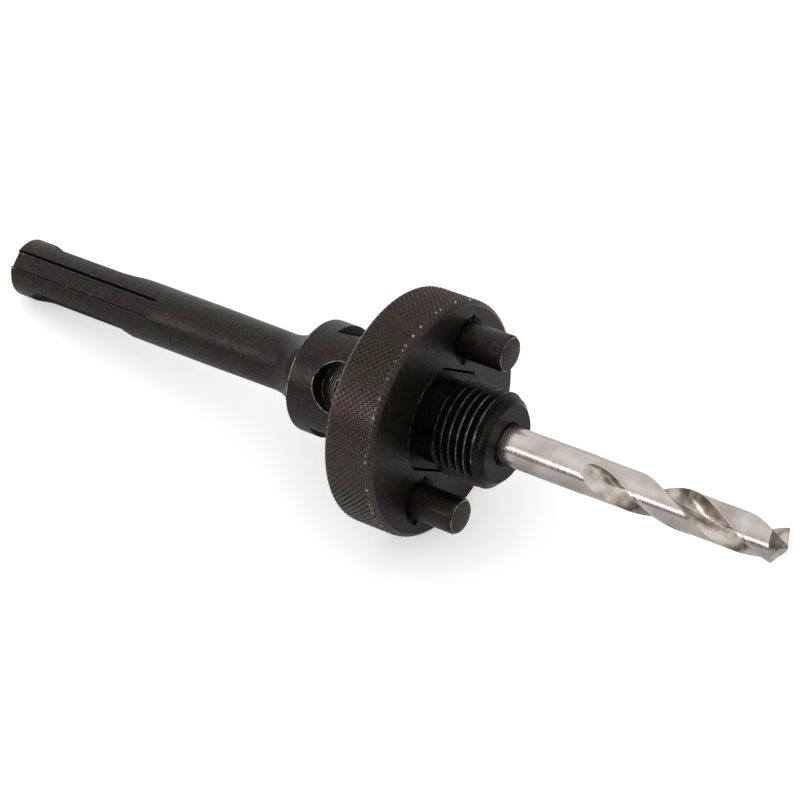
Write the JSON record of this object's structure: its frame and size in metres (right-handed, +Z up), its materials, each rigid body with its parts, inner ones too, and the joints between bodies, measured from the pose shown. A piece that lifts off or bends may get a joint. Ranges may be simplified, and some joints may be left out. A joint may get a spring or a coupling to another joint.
{
  "type": "hole saw arbor",
  "caption": "Hole saw arbor: slotted hammer-drill shank, round body with flats, sliding knurled collar with drive pins, threaded nose and a twist pilot drill.",
  "frame": {"origin": "on the floor under the middle of the tool as it lies", "axes": "+X along the floor towards the drill's point, +Z up; the tool's own axis rises towards +X"},
  "size_m": [0.1476, 0.0392, 0.0398],
  "materials": {
    "black_steel": "black oxide, satin",
    "bright_steel": "ground, bright satin"
  },
  "bodies": {
    "arbor": {"arbor": "black_steel", "pilot_drill": "bright_steel"},
    "drive_collar": {"drive_collar": "black_steel", "drive_pin_upper": "black_steel", "drive_pin_lower": "black_steel"},
    "set_screw": {"set_screw": "black_steel"}
  },
  "joints": [
    {"name": "collar_slide", "type": "slide", "parent": "arbor", "child": "drive_collar", "axis": [-0.9835, 0, -0.1811], "range_m": [0, 0.0115]},
    {"name": "set_screw_travel", "type": "slide", "parent": "arbor", "child": "set_screw", "axis": [-0.1254, -0.7218, 0.6807], "range_m": [0, 0.0015]}
  ]
}
